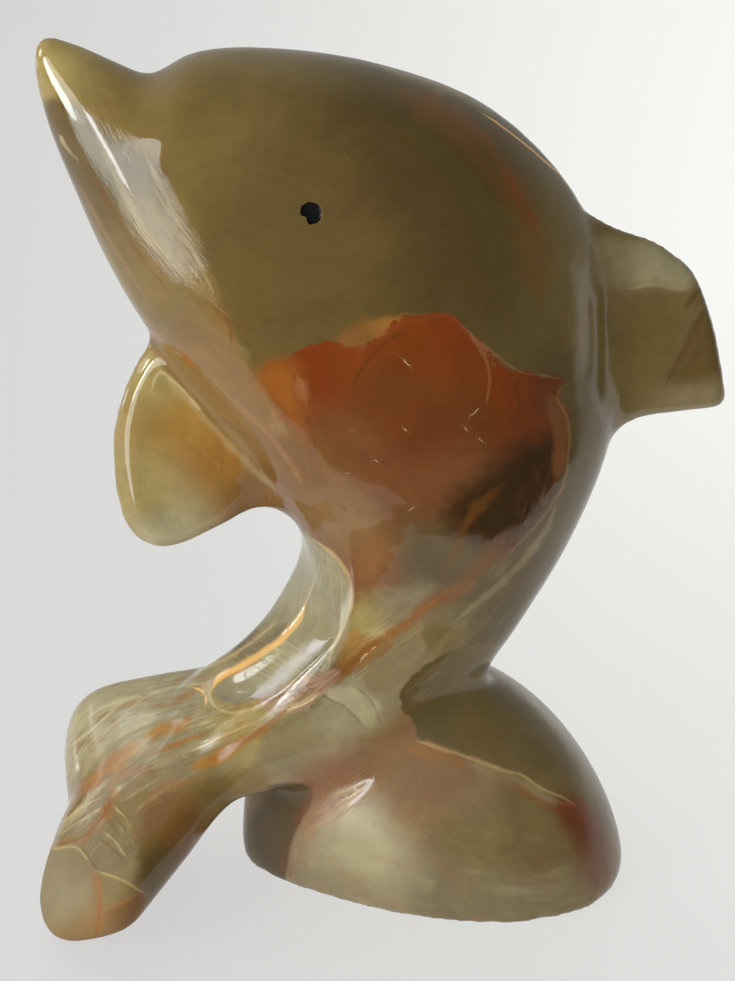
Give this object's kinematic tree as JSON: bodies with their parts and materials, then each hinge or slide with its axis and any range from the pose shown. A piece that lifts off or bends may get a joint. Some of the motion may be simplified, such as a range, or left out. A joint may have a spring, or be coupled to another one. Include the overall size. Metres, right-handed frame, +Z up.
{
  "type": "dolphin sculpture",
  "caption": "Polished onyx carving of a leaping dolphin, its tail curled forward beneath it, springing from a smooth rounded rock that is its base.",
  "frame": {"origin": "middle of the rock's flat underside", "axes": "+Z up, along the longest extent; the beak points to -X, the back fin to +X, and y = 0 is the plane in which the body curls"},
  "size_m": [0.1221, 0.0581, 0.1499],
  "materials": {
    "onyx": "polished"
  },
  "bodies": {
    "root": {"onyx_dolphin": "onyx"}
  },
  "joints": []
}
